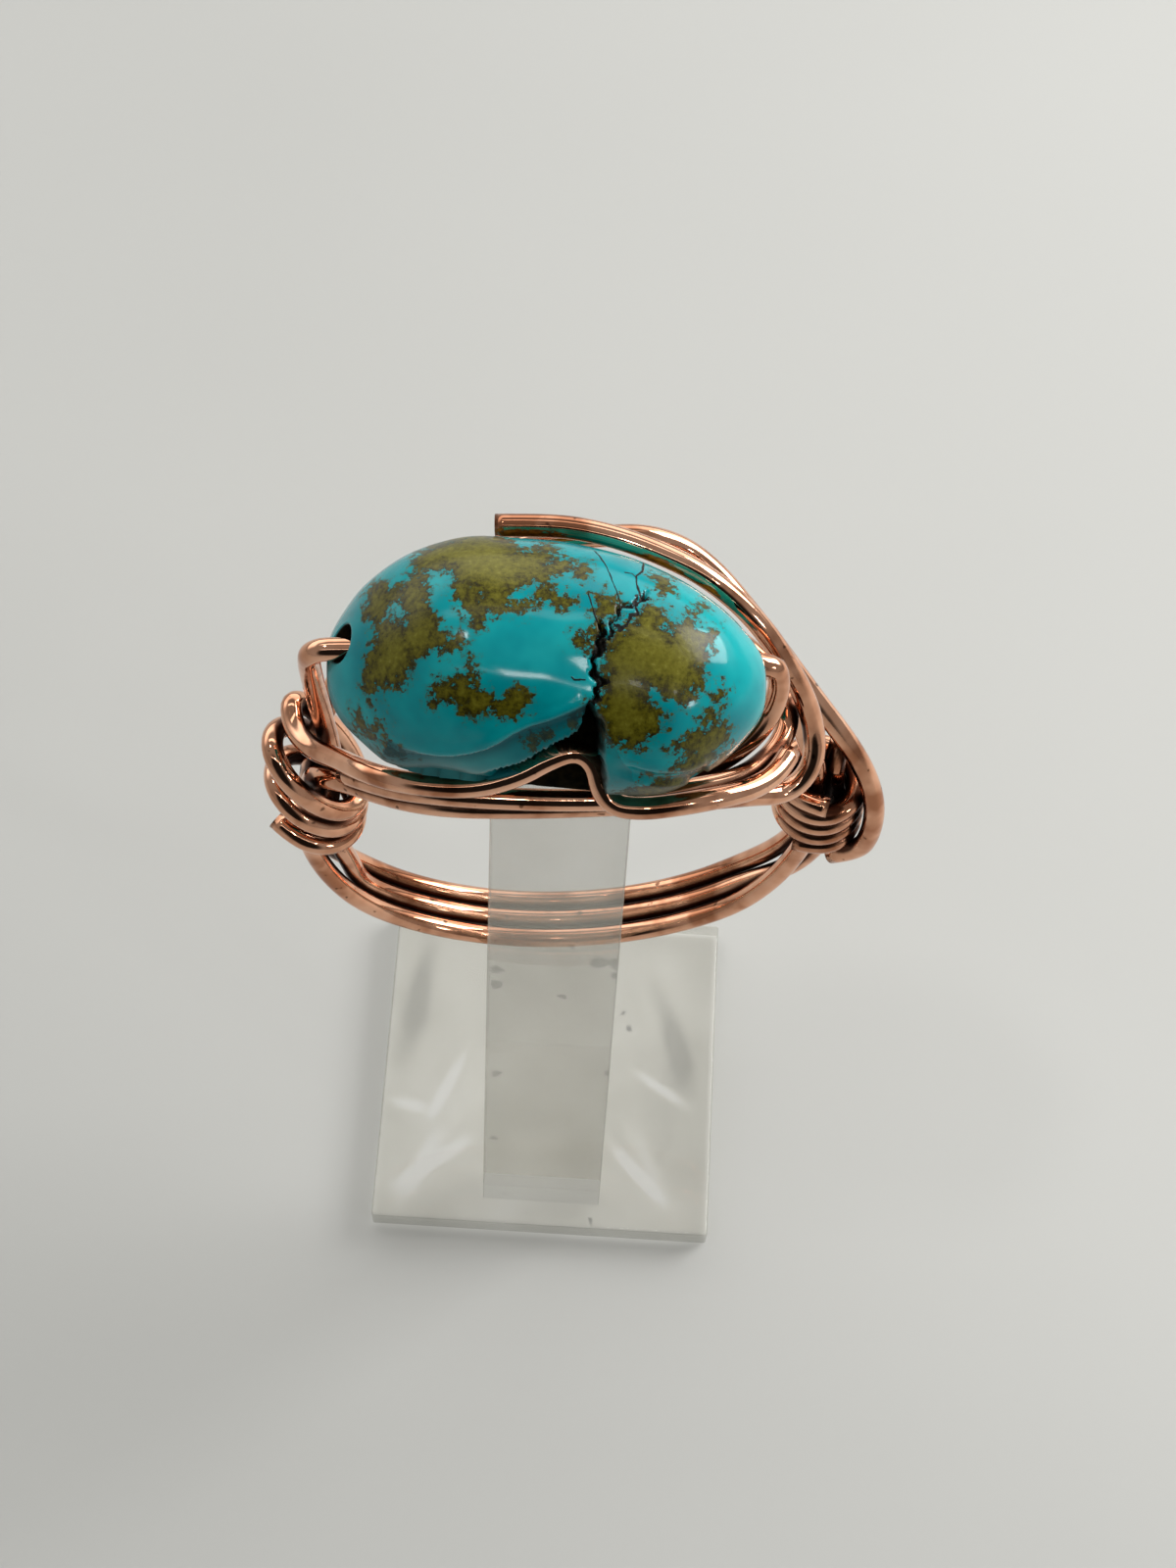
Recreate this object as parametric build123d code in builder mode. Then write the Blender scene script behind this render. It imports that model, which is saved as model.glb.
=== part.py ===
from build123d import *
from math import cos, sin, radians, sqrt, pi, tan
import os

os.makedirs("parts", exist_ok=True)

# Sizes of the ring in millimetres
wire_diameter = 0.81
wire_gap = 0.05
finger_bore = 18.9
bead_length = 14.94
bead_depth = 8.4
bead_height = 8.2
bead_seat = 0.245
bead_bore = 1.06
end_room = 1.1

# Sizes of the display stand
base_side = 15.9
base_thickness = 1.3
base_edge_round = 0.15
tongue_width = 5.5
tongue_thickness = 1.2
tongue_edge_round = 0.12
tongue_setback = 1.0
tongue_run = 35.45
tongue_lean = 14.3
tongue_gap = 0.607
curl_radius = 2.0
curl_sweep = 150.0
stand_turn = -4.7
ring_height = 27.8

# Spacings that follow from the sizes
wire_pitch = wire_diameter + wire_gap
ring_radius = (finger_bore + wire_diameter) / 2
side_offset = wire_pitch / 2
knot_top = 0.44 * ring_radius
bead_rise = ring_radius + bead_seat + bead_height / 2
end_reach = bead_length / 2 + end_room
side_reach = bead_depth / 2
knot_reach = 3 * wire_pitch
tongue_root = -base_side / 2 + tongue_setback + tongue_thickness / 2
band_foot = ring_height - ring_radius - base_thickness / 2
tongue_slope = radians(tongue_lean)
tongue_back = tongue_root + band_foot * tan(tongue_slope) + tongue_thickness / 2 / cos(tongue_slope)
ring_behind = tongue_back + tongue_gap + wire_pitch + wire_diameter / 2

# Shoulders of the band, in degrees round from the right, and their levels in ring radii
left_shoulder = 189.0
right_shoulder = 347.0
band_steps = 12
spread_steps = 2
left_levels = [(1.0, 0.03), (0.985, 0.20), (0.965, 0.36), (0.945, 0.50)]
right_levels = [(1.0, -0.05), (1.0, 0.10), (0.99, 0.25), (0.975, 0.39)]

# The wire coiled round each knot: its lowest and highest middle in ring radii, its turns and the
# corners in a turn, and where it starts, in degrees round from the right
left_coil_low = (-0.959, 0.102)
left_coil_high = (-0.923, 0.599)
left_coil_radius = 1.72 * wire_pitch
left_coil_turns = 2.6
left_coil_start = 205.0
left_coil_tilts = (1.05 * wire_pitch, 3.37 * wire_pitch)
left_coil_lean = -10.0
right_coil_low = (1.025, 0.03)
right_coil_high = (1.01, 0.396)
right_coil_radius = 1.64 * wire_pitch
right_coil_turns = 4.1
right_coil_start = 230.0
right_coil_tilts = (0.12 * wire_pitch, 0.12 * wire_pitch)
coil_steps = 8


def in_world(point):
    """Moves a point from the ring's centre to its place over the stand."""
    x, y, z = point
    return (x, y + ring_behind, z + ring_height)


def route(rows, stack=0):
    """Rows of across, away, rise. Across and away are shares of the reach, rise runs from the
    knots' tops at 0 to the bead's middle at 1, and stack lifts the wire by whole wire pitches."""
    points = []
    for across, away, rise in rows:
        high = min(1.0, max(0.0, rise))
        x_reach = ring_radius + (end_reach - ring_radius) * high
        y_reach = knot_reach + (side_reach - knot_reach) * high
        level = knot_top + rise * (bead_rise - knot_top) + stack * wire_pitch
        points.append((across * x_reach, away * y_reach, level))
    return points


def band(place, push_left=0, push_right=0):
    """Lower half of the band from left to right. Place is -1, 0 or 1 across the band's width.
    Near the shoulders the three wires close up and the middle one is pushed out or in."""
    step = (right_shoulder - left_shoulder) / band_steps
    points = []
    for k in range(band_steps + 1):
        from_end = min(k, band_steps - k)
        close = max(0.0, 1 - from_end / spread_steps)
        apart = wire_pitch + (side_offset - wire_pitch) * close
        push = push_left if k < band_steps / 2 else push_right
        bulge = 0.0
        if place == 0 and close > 0:
            bulge = push * sqrt((1.2 * wire_pitch) ** 2 - apart ** 2)
        angle = radians(left_shoulder + step * k)
        radius = ring_radius / cos(radians(step / 2)) + bulge
        points.append((radius * cos(angle), place * apart, radius * sin(angle)))
    return points


def riser(levels, side, place, push=0):
    """Upright run of one band wire through a knot. Side is -1 left or 1 right."""
    out = push * 1.08 * sqrt(wire_pitch ** 2 - side_offset ** 2)
    points = []
    for across, rise in levels:
        points.append((side * (across * ring_radius + out), place * side_offset, rise * ring_radius))
    return points


def coil(low, high, radius, turns, start, tilts, lean=0):
    """Wraps about a line from low to high, tilted down toward the right turned by lean. The tilt
    runs from the first to the second of tilts."""
    points = []
    total = round(turns * coil_steps)
    corner = radius / cos(pi / coil_steps)
    for k in range(total + 1):
        t = k / total
        angle = radians(start) + 2 * pi * k / coil_steps
        tilt = tilts[0] + (tilts[1] - tilts[0]) * t
        x = (low[0] + (high[0] - low[0]) * t) * ring_radius + corner * cos(angle)
        z = (low[1] + (high[1] - low[1]) * t) * ring_radius - tilt * cos(angle - radians(lean))
        points.append((x, corner * sin(angle), z))
    return points


def backward(points):
    return list(reversed(points))


def bends(points):
    """Largest bend that fits at each inner point of a route."""
    radii = []
    for a, b, c in zip(points, points[1:], points[2:]):
        before = Vector(*b) - Vector(*a)
        after = Vector(*c) - Vector(*b)
        half_turn = radians(before.get_angle(after)) / 2
        radii.append(0.45 * min(before.length, after.length) / tan(half_turn))
    return radii


# Routes of the wires, drawn about the ring's centre
mid_rows = [
    (-0.835, -0.606, 0.275), (-0.744, -0.816, 0.348), (-0.622, -1.008, 0.428),
    (-0.462, -1.106, 0.463), (-0.255, -1.156, 0.462), (0.006, -1.179, 0.45),
    (0.244, -1.17, 0.45), (0.471, -1.073, 0.452), (0.674, -0.91, 0.421), (0.803, -0.559, 0.379),
    (0.869, -0.186, 0.37), (0.866, 0.076, 0.412), (0.869, 0.24, 0.322), (0.917, 0.239, 0.172),
    (0.954, -0.008, 0.056), (0.977, -0.127, -0.036)
]
low_rows = [
    (-0.921, -0.34, 0.154), (-0.83, -0.562, 0.256), (-0.727, -0.8, 0.341),
    (-0.595, -0.999, 0.406), (-0.426, -1.109, 0.443), (-0.211, -1.132, 0.451),
    (0.004, -1.126, 0.449), (0.219, -1.109, 0.453), (0.445, -1.073, 0.449),
    (0.602, -0.998, 0.407), (0.733, -0.886, 0.333)
]
top_rows = [
    (0.822, -0.858, 0.188), (0.907, -0.709, 0.206), (0.963, -0.474, 0.271),
    (0.967, -0.213, 0.36), (0.941, -0.052, 0.492), (0.889, 0.085, 0.618), (0.815, 0.236, 0.752),
    (0.698, 0.408, 0.876), (0.546, 0.557, 0.971), (0.373, 0.687, 1.017), (0.198, 0.80, 1.045),
    (0.023, 0.885, 1.05), (-0.14, 0.915, 1.043), (-0.28, 0.925, 1.036)
]
back_rows = [
    (-0.815, 0.713, 0.318), (-0.678, 0.949, 0.431), (-0.481, 1.112, 0.523),
    (-0.244, 1.193, 0.585), (0.02, 1.206, 0.607), (0.286, 1.181, 0.589), (0.508, 1.115, 0.531),
    (0.697, 0.961, 0.442), (0.851, 0.735, 0.321), (0.947, 0.447, 0.197), (0.982, 0.223, 0.073)
]
high_rows = [
    (-0.929, 0.218, 0.141), (-0.888, 0.474, 0.307), (-0.8, 0.788, 0.462), (-0.661, 1.027, 0.584),
    (-0.469, 1.198, 0.679), (-0.248, 1.297, 0.734), (-0.023, 1.325, 0.761),
    (0.181, 1.298, 0.782), (0.338, 1.359, 0.757), (0.49, 1.388, 0.685), (0.618, 1.228, 0.619),
    (0.722, 0.961, 0.559), (0.823, 0.71, 0.475), (0.91, 0.501, 0.369), (0.991, 0.303, 0.257),
    (1.065, 0.114, 0.154), (1.125, -0.067, 0.047), (1.18, -0.257, -0.074),
    (1.219, -0.45, -0.215), (1.219, -0.564, -0.394), (1.19, -0.553, -0.544),
    (1.094, -0.429, -0.64)
]
stub_rows = [
    (1.085, 0.224, 0.113), (1.053, 0.032, 0.027)
]
riser_rows = [
    (-0.891, -0.051, 0.21), (-0.925, 0.026, 0.372), (-0.964, 0.053, 0.557),
    (-0.998, -0.003, 0.75), (-1.022, -0.071, 0.918), (-1.018, -0.135, 1.035)
]
inner_rows = [
    (0.854, -0.171, 0.832), (0.821, -0.314, 0.693), (0.735, -0.489, 0.588),
    (0.606, -0.661, 0.501), (0.476, -0.788, 0.434)
]
accent_rows = [
    (-1.035, 0.555, 0.165), (-1.02, 0.104, 0.132), (-0.95, -0.273, 0.17),
    (-0.858, -0.553, 0.276), (-0.773, -0.852, 0.393), (-0.659, -1.057, 0.467),
    (-0.475, -1.169, 0.493), (-0.321, -1.177, 0.509), (-0.179, -1.098, 0.553),
    (-0.067, -0.965, 0.600), (0.034, -0.892, 0.621), (0.103, -0.990, 0.584),
    (0.124, -1.214, 0.517), (0.175, -1.400, 0.482), (0.283, -1.449, 0.495),
    (0.423, -1.401, 0.493), (0.582, -1.294, 0.462), (0.706, -1.156, 0.41), (0.809, -0.91, 0.367),
    (0.855, -0.644, 0.356)
]

# Sections of the bead: place along it, then half depth, half height, shift toward the front and
# lift, all in shares of half the bead's length, depth and height
bead_rows = [
    (-1.0, 0.10, 0.10, -0.06, -0.20), (-0.94, 0.42, 0.36, -0.05, -0.18), (-0.82, 0.65, 0.60, -0.055, -0.11),
    (-0.62, 0.88, 0.84, -0.03, -0.04), (-0.36, 1.01, 0.97, -0.01, 0.0), (-0.06, 1.03, 0.98, 0.03, 0.0),
    (0.26, 1.01, 0.96, 0.11, 0.0), (0.54, 0.91, 0.88, 0.21, 0.0), (0.76, 0.68, 0.70, 0.24, 0.0),
    (0.91, 0.43, 0.46, 0.25, 0.0), (1.0, 0.10, 0.10, 0.26, 0.0)
]
bead_across = -0.05 * bead_length
bead_away = -0.093 * bead_depth
bore_rows = [(-0.955, -0.043, 0.17), (1.04, -0.055, -0.11)]
bore_overrun = 0.6

# The cleft in the bead's front, drawn on a slanted plane in shares of its own width and depth. It
# is as deep as the seat that the accent wire's hump lies on, and a groove keeps that wire clear.
notch_place = (0.16, 0.745, 0.66)
notch_slant = 60.0
notch_width = 1.9
notch_depth = 3.0
notch_sink = 5.16
groove_gap = 0.1
groove_start = -16
groove_end = -5
notch_round = 0.14
notch_rows = [
    (0.0, 0.0), (-0.15, -0.30), (-0.32, -0.40), (-0.58, -0.483), (-1.11, -0.683), (-1.79, -0.807),
    (-2.37, -0.85), (-2.37, -1.6), (0.52, -1.6), (0.33, -0.56), (0.28, -0.22)
]


def bead_at(along, forward, lift):
    """Point in shares of half the bead's length, depth and height from its middle."""
    x = bead_across + along * bead_length / 2
    y = bead_away - forward * bead_depth / 2
    return (x, y, bead_rise + lift * bead_height / 2)


front_points = route(mid_rows, 1)
front_points += backward(riser(right_levels, 1, -1))
front_points += backward(band(-1))
front_points += riser(left_levels, -1, -1)
front_points += route(low_rows)
front_points += route(top_rows, 1)

back_points = route(back_rows)
back_points += backward(riser(right_levels, 1, 1))
back_points += backward(band(1))
back_points += riser(left_levels, -1, 1)
back_points += route(high_rows, 1)

middle_points = route(stub_rows)
middle_points += backward(riser(right_levels, 1, 0, 1))
middle_points += backward(band(0, -1, 1))
middle_points += riser(left_levels, -1, 0, -1)
middle_points += route(riser_rows)
middle_points += [bead_at(*bore_rows[0]), bead_at(*bore_rows[1])]
middle_points += route(inner_rows)

accent_points = coil(left_coil_low, left_coil_high, left_coil_radius, left_coil_turns, left_coil_start,
                     left_coil_tilts, left_coil_lean)
accent_points += route(accent_rows, 2)
wrap_points = coil(right_coil_low, right_coil_high, right_coil_radius, right_coil_turns, right_coil_start,
                   right_coil_tilts)


def wire_start(path):
    return Plane(origin=path @ 0, z_dir=path % 0)


with BuildPart() as front_band_wire:
    front_route = [in_world(p) for p in front_points]
    with BuildLine() as front_path:
        FilletPolyline(*front_route, radius=bends(front_route))
    with BuildSketch(wire_start(front_path.line)):
        Circle(wire_diameter / 2)
    sweep()

with BuildPart() as back_band_wire:
    back_route = [in_world(p) for p in back_points]
    with BuildLine() as back_path:
        FilletPolyline(*back_route, radius=bends(back_route))
    with BuildSketch(wire_start(back_path.line)):
        Circle(wire_diameter / 2)
    sweep()

with BuildPart() as middle_band_wire:
    middle_route = [in_world(p) for p in middle_points]
    with BuildLine() as middle_path:
        FilletPolyline(*middle_route, radius=bends(middle_route))
    with BuildSketch(wire_start(middle_path.line)):
        Circle(wire_diameter / 2)
    sweep()

with BuildPart() as front_accent_wire:
    accent_route = [in_world(p) for p in accent_points]
    with BuildLine() as accent_path:
        FilletPolyline(*accent_route, radius=bends(accent_route))
    with BuildSketch(wire_start(accent_path.line)):
        Circle(wire_diameter / 2)
    sweep()

with BuildPart() as right_wrap_wire:
    wrap_route = [in_world(p) for p in wrap_points]
    with BuildLine() as wrap_path:
        FilletPolyline(*wrap_route, radius=bends(wrap_route))
    with BuildSketch(wire_start(wrap_path.line)):
        Circle(wire_diameter / 2)
    sweep()

with BuildPart() as turquoise_bead:
    for along, depth, height, forward, lift in bead_rows:
        section_middle = in_world(bead_at(along, forward, lift))
        with BuildSketch(Plane(origin=section_middle, x_dir=(0, 1, 0), z_dir=(1, 0, 0))):
            Ellipse(depth * bead_depth / 2, height * bead_height / 2)
    loft()
    bore_start = in_world(bead_at(*bore_rows[0]))
    bore_end = in_world(bead_at(*bore_rows[1]))
    bore_way = (Vector(*bore_end) - Vector(*bore_start)).normalized()
    with BuildLine() as bore_path:
        Line(Vector(*bore_start) - bore_way * bore_overrun, bore_end)
    with BuildSketch(wire_start(bore_path.line)):
        Circle(bead_bore / 2)
    sweep(mode=Mode.SUBTRACT)
    slant = radians(notch_slant)
    notch_tip = in_world(bead_at(*notch_place))
    notch_plane = Plane(origin=notch_tip, x_dir=(1, 0, 0), z_dir=(0, -cos(slant), sin(slant)))
    with BuildSketch(notch_plane.offset(-notch_sink)) as notch_shape:
        Polygon(*[(x * notch_width, y * notch_depth) for x, y in notch_rows], align=None)
        fillet(notch_shape.vertices(), notch_round)
    extrude(amount=notch_sink + bead_height, mode=Mode.SUBTRACT)
    groove_route = accent_route[groove_start:groove_end]
    with BuildLine() as groove_path:
        FilletPolyline(*groove_route, radius=bends(groove_route))
    with BuildSketch(wire_start(groove_path.line)):
        Circle(wire_diameter / 2 + groove_gap)
    sweep(path=groove_path.line, mode=Mode.SUBTRACT)

# The stand's side view is drawn on a plane turned with the stand, away from the camera and up
away_direction = (-sin(radians(stand_turn)), cos(radians(stand_turn)), 0)
across_direction = (cos(radians(stand_turn)), sin(radians(stand_turn)), 0)
stand_side = Plane(origin=(0, 0, 0), x_dir=away_direction, z_dir=across_direction)

with BuildPart() as display_stand:
    with BuildSketch(Plane(origin=(0, 0, 0), x_dir=across_direction, z_dir=(0, 0, 1))):
        Rectangle(base_side, base_side)
    extrude(amount=base_thickness)
    fillet(display_stand.edges().filter_by(Axis.Z), base_edge_round)
    fillet(display_stand.faces().sort_by(Axis.Z)[-1].edges(), base_edge_round)
    with BuildLine(stand_side) as tongue_path:
        tongue_line = PolarLine((tongue_root, base_thickness / 2), tongue_run, 90 - tongue_lean)
        JernArc(tongue_line @ 1, tongue_line % 1, curl_radius, -curl_sweep)
    with BuildSketch(Plane(origin=tongue_path.line @ 0, x_dir=across_direction, z_dir=tongue_path.line % 0)):
        RectangleRounded(tongue_width, tongue_thickness, tongue_edge_round)
    sweep()

front_band_wire.part.label = "front_band_wire"
back_band_wire.part.label = "back_band_wire"
middle_band_wire.part.label = "middle_band_wire"
front_accent_wire.part.label = "front_accent_wire"
right_wrap_wire.part.label = "right_wrap_wire"
turquoise_bead.part.label = "turquoise_bead"
display_stand.part.label = "display_stand"
export_step(front_band_wire.part, "parts/front_band_wire.step")
export_step(back_band_wire.part, "parts/back_band_wire.step")
export_step(middle_band_wire.part, "parts/middle_band_wire.step")
export_step(front_accent_wire.part, "parts/front_accent_wire.step")
export_step(right_wrap_wire.part, "parts/right_wrap_wire.step")
export_step(turquoise_bead.part, "parts/turquoise_bead.step")
export_step(display_stand.part, "parts/display_stand.step")
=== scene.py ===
import bpy
import numpy as np
from math import cos, sin, radians, sqrt, pi
from mathutils import Matrix, Vector
from mathutils.kdtree import KDTree


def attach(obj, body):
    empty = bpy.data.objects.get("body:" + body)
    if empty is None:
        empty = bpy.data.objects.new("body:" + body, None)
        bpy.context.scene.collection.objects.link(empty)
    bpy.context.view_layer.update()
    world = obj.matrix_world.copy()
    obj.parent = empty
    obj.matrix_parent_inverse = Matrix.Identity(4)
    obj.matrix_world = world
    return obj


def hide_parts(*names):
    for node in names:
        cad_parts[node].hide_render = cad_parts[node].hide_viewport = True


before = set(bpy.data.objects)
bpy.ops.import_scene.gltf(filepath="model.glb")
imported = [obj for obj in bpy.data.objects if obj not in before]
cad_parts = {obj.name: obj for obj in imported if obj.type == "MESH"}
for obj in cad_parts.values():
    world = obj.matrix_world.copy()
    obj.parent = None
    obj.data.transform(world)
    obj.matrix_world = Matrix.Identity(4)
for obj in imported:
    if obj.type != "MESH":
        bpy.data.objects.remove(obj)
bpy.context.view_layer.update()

scene = bpy.context.scene

# Sizes of the part in millimetres, as in the model's source
MM = 0.001
WIRE = 0.81
PITCH = 0.86
RING_RADIUS = 9.855
BEAD = Vector((14.94, 8.4, 8.2))
RING_CENTRE = Vector((0, 0.5496, 27.8))
SIDE_OFFSET = PITCH / 2
KNOT_TOP = 0.44 * RING_RADIUS
BEAD_RISE = RING_RADIUS + 0.245 + BEAD.z / 2
END_REACH = BEAD.x / 2 + 1.1
SIDE_REACH = BEAD.y / 2
KNOT_REACH = 3 * PITCH
LEFT_SHOULDER = 189
RIGHT_SHOULDER = 347
BAND_STEPS = 12
SPREAD_STEPS = 2
COIL_STEPS = 8
MIDDLE_CLEAR = 1.2
RISER_CLEAR = 1.08
BEAD_SHIFT = -0.05
BEAD_FORWARD = 0.093
LEFT_LEVELS = [(1, 0.03), (0.985, 0.2), (0.965, 0.36), (0.945, 0.5)]
RIGHT_LEVELS = [(1, -0.05), (1, 0.1), (0.99, 0.25), (0.975, 0.39)]


# Routes of the wires about the ring's centre

def shares(rows):
    """Rows in thousandths as shares of one."""
    return [tuple(value / 1000 for value in row) for row in rows]


def route(rows, stack=0):
    """Points round the bead from rows of across, away and rise; stack lifts them by whole wires."""
    points = []
    for across, away, rise in shares(rows):
        high = min(1, max(0, rise))
        x_reach = RING_RADIUS + (END_REACH - RING_RADIUS) * high
        y_reach = KNOT_REACH + (SIDE_REACH - KNOT_REACH) * high
        level = KNOT_TOP + rise * (BEAD_RISE - KNOT_TOP) + stack * PITCH
        points.append(Vector((across * x_reach, away * y_reach, level)))
    return points


def band(place, push_left=0, push_right=0):
    """One of the three shank wires; the middle one is pushed out where the others close in."""
    step = (RIGHT_SHOULDER - LEFT_SHOULDER) / BAND_STEPS
    points = []
    for k in range(BAND_STEPS + 1):
        from_end = min(k, BAND_STEPS - k)
        close = max(0, 1 - from_end / SPREAD_STEPS)
        apart = PITCH + (SIDE_OFFSET - PITCH) * close
        push = push_left if k < BAND_STEPS / 2 else push_right
        bulge = 0
        if place == 0 and close > 0:
            bulge = push * sqrt((MIDDLE_CLEAR * PITCH) ** 2 - apart ** 2)
        angle = radians(LEFT_SHOULDER + step * k)
        radius = RING_RADIUS / cos(radians(step / 2)) + bulge
        points.append(Vector((radius * cos(angle), place * apart, radius * sin(angle))))
    return points


def riser(levels, side, place, push=0):
    """The stretch of a shank wire inside a knot."""
    out = push * RISER_CLEAR * sqrt(PITCH ** 2 - SIDE_OFFSET ** 2)
    return [Vector((side * (across * RING_RADIUS + out), place * SIDE_OFFSET, rise * RING_RADIUS))
            for across, rise in levels]


def coil(low, high, radius, turns, start, tilts, lean):
    """Wraps round the shank, whose tilt goes from the first of tilts to the second."""
    points = []
    total = round(turns * COIL_STEPS)
    corner = radius / cos(pi / COIL_STEPS)
    for k in range(total + 1):
        t = k / total
        angle = radians(start) + 2 * pi * k / COIL_STEPS
        tilt = tilts[0] + (tilts[1] - tilts[0]) * t
        x = (low[0] + (high[0] - low[0]) * t) * RING_RADIUS + corner * cos(angle)
        z = (low[1] + (high[1] - low[1]) * t) * RING_RADIUS - tilt * cos(angle - radians(lean))
        points.append(Vector((x, corner * sin(angle), z)))
    return points


def bead_at(along, forward, lift):
    x = BEAD_SHIFT * BEAD.x + along * BEAD.x / 2
    y = -BEAD_FORWARD * BEAD.y - forward * BEAD.y / 2
    return Vector((x, y, BEAD_RISE + lift * BEAD.z / 2))


# Across, away from the viewer and up, in thousandths of the reaches that route() takes
MID_ROWS = [
    (-835, -606, 275), (-744, -816, 348), (-622, -1008, 428), (-462, -1106, 463), (-255, -1156, 462),
    (6, -1179, 450), (244, -1170, 450), (471, -1073, 452), (674, -910, 421), (803, -559, 379),
    (869, -186, 370), (866, 76, 412), (869, 240, 322), (917, 239, 172), (954, -8, 56), (977, -127, -36)]
LOW_ROWS = [
    (-921, -340, 154), (-830, -562, 256), (-727, -800, 341), (-595, -999, 406), (-426, -1109, 443),
    (-211, -1132, 451), (4, -1126, 449), (219, -1109, 453), (445, -1073, 449), (602, -998, 407),
    (733, -886, 333)]
TOP_ROWS = [
    (822, -858, 188), (907, -709, 206), (963, -474, 271), (967, -213, 360), (941, -52, 492),
    (889, 85, 618), (815, 236, 752), (698, 408, 876), (546, 557, 971), (373, 687, 1017), (198, 800, 1045),
    (23, 885, 1050), (-140, 915, 1043), (-280, 925, 1036)]
BACK_ROWS = [
    (-815, 713, 318), (-678, 949, 431), (-481, 1112, 523), (-244, 1193, 585), (20, 1206, 607),
    (286, 1181, 589), (508, 1115, 531), (697, 961, 442), (851, 735, 321), (947, 447, 197), (982, 223, 73)]
HIGH_ROWS = [
    (-929, 218, 141), (-888, 474, 307), (-800, 788, 462), (-661, 1027, 584), (-469, 1198, 679),
    (-248, 1297, 734), (-23, 1325, 761), (181, 1298, 782), (338, 1359, 757), (490, 1388, 685),
    (618, 1228, 619), (722, 961, 559), (823, 710, 475), (910, 501, 369), (991, 303, 257),
    (1065, 114, 154), (1125, -67, 47), (1180, -257, -74), (1219, -450, -215), (1219, -564, -394),
    (1190, -553, -544), (1094, -429, -640)]
STUB_ROWS = [(1085, 224, 113), (1053, 32, 27)]
RISER_ROWS = [
    (-891, -51, 210), (-925, 26, 372), (-964, 53, 557), (-998, -3, 750), (-1022, -71, 918),
    (-1018, -135, 1035)]
INNER_ROWS = [(854, -171, 832), (821, -314, 693), (735, -489, 588), (606, -661, 501), (476, -788, 434)]
ACCENT_ROWS = [
    (-1035, 555, 165), (-1020, 104, 132), (-950, -273, 170), (-858, -553, 276), (-773, -852, 393),
    (-659, -1057, 467), (-475, -1169, 493), (-321, -1177, 509), (-179, -1098, 553), (-67, -965, 600),
    (34, -892, 621), (103, -990, 584), (124, -1214, 517), (175, -1400, 482), (283, -1449, 495),
    (423, -1401, 493), (582, -1294, 462), (706, -1156, 410), (809, -910, 367), (855, -644, 356)]

front_points = route(MID_ROWS, 1) + riser(RIGHT_LEVELS, 1, -1)[::-1] + band(-1)[::-1]
front_points += riser(LEFT_LEVELS, -1, -1) + route(LOW_ROWS) + route(TOP_ROWS, 1)
back_points = route(BACK_ROWS) + riser(RIGHT_LEVELS, 1, 1)[::-1] + band(1)[::-1]
back_points += riser(LEFT_LEVELS, -1, 1) + route(HIGH_ROWS, 1)
BORE = [bead_at(-0.955, -0.043, 0.17), bead_at(1.04, -0.055, -0.11)]
middle_points = route(STUB_ROWS) + riser(RIGHT_LEVELS, 1, 0, 1)[::-1] + band(0, -1, 1)[::-1]
middle_points += riser(LEFT_LEVELS, -1, 0, -1) + route(RISER_ROWS) + BORE + route(INNER_ROWS)
# Low and high end, radius, turns, degrees at the start, tilt at both ends and the way it leans
LEFT_COIL = ((-0.959, 0.102), (-0.923, 0.599), 1.72 * PITCH, 2.6, 205, (1.05 * PITCH, 3.37 * PITCH), -10)
RIGHT_COIL = ((1.025, 0.03), (1.01, 0.396), 1.64 * PITCH, 4.1, 230, (0.12 * PITCH, 0.12 * PITCH), 0)
accent_points = coil(*LEFT_COIL) + route(ACCENT_ROWS, 2)
wrap_points = coil(*RIGHT_COIL)


# Smooth wire meshes

TUBE_SIDES = 24
TUBE_STEPS = 7
FINE_STEPS = 14
# Depth of the dish in a cut end, as a share of the wire's radius, and its rings
END_DISH = 0.12
END_RINGS = 4
# How far in mm outside its own wire a point looks for other wires
PROBE = 0.42


def curve_line(points, steps=TUBE_STEPS):
    """Points of a quadratic spline that starts and ends on the first and last point."""
    line = []
    mids = [(a + b) / 2 for a, b in zip(points, points[1:])]
    count = len(points)
    for i in range(1, count - 1):
        a = points[0] if i == 1 else mids[i - 1]
        c = points[-1] if i == count - 2 else mids[i]
        b = points[i]
        for k in range(steps):
            t = k / steps
            line.append((1 - t) ** 2 * a + 2 * t * (1 - t) * b + t * t * c)
    line.append(points[-1].copy())
    return line


def tube_sections(points, radius):
    """Place, radius and two directions of each ring of a wire with slightly dished cut ends."""
    line = curve_line(points)
    tangents = []
    for i in range(len(line)):
        before = line[max(0, i - 1)]
        after = line[min(len(line) - 1, i + 1)]
        tangents.append((after - before).normalized())
    normal = tangents[0].orthogonal().normalized()
    rings = []
    for place, tangent in zip(line, tangents):
        normal = (normal - tangent * normal.dot(tangent)).normalized()
        rings.append((place, radius, normal.copy(), tangent.cross(normal)))
    starts, ends = [], []
    for k in range(END_RINGS):
        inward = END_DISH * radius * (1 - sin(pi / 2 * k / END_RINGS))
        starts.append((line[0] + tangents[0] * inward, radius - inward) + rings[0][2:])
        ends.append((line[-1] - tangents[-1] * inward, radius - inward) + rings[-1][2:])
    return starts + rings[1:-1] + ends[::-1]


def ring_faces(low, high, sides):
    """Faces between two rings of a mesh, given by their numbers."""
    low, high = low * sides, high * sides
    ways = [(j, (j + 1) % sides) for j in range(sides)]
    return [(low + j, low + k, high + k, high + j) for j, k in ways]


def new_object(name, data):
    obj = bpy.data.objects.new(name, data)
    scene.collection.objects.link(obj)
    return obj


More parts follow.
